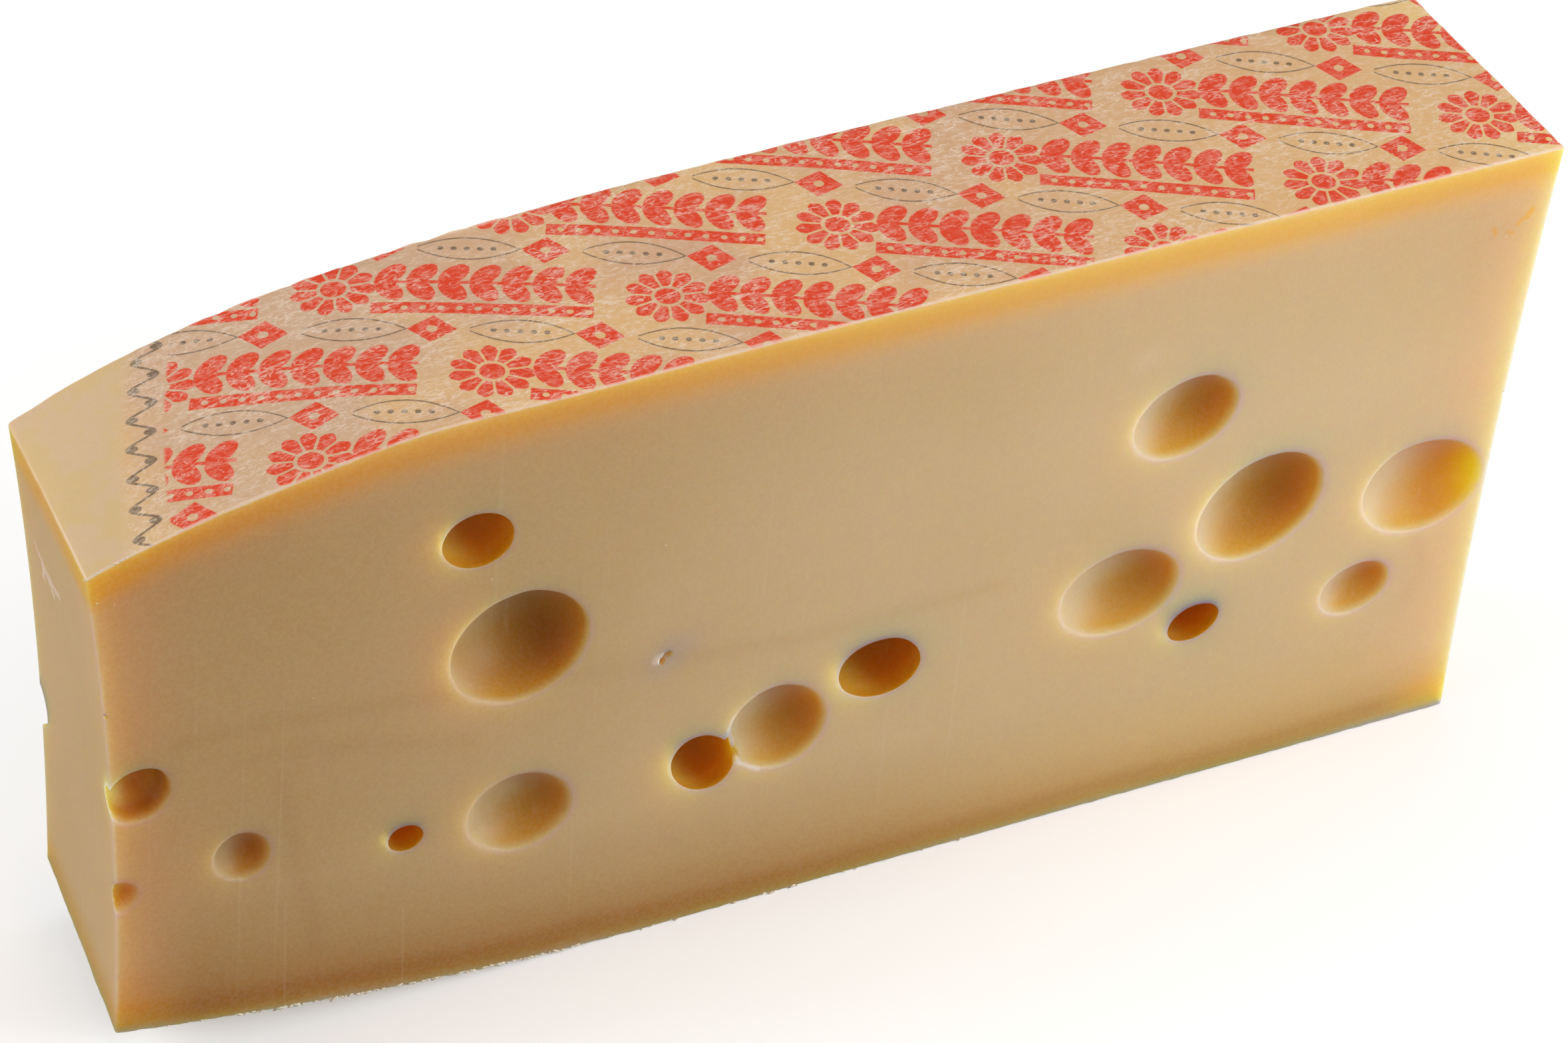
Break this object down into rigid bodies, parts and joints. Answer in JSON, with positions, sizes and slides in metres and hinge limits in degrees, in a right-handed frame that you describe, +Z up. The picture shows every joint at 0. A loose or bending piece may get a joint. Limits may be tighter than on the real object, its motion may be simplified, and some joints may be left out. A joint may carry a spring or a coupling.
{
  "type": "cheese wedge",
  "caption": "Block of hard cheese cut as a straight slab from a big wheel, rind on its top and underside, round eyes opened on its cut faces.",
  "frame": {"origin": "middle of the footprint, on the surface that the block rests on", "axes": "+X along the block towards the wheel's middle, -Y out of the front cut, +Z up through the upper rind"},
  "size_m": [0.3968, 0.072, 0.181],
  "materials": {
    "cheese_paste": "satin"
  },
  "bodies": {
    "root": {"cheese": "cheese_paste"}
  },
  "joints": []
}
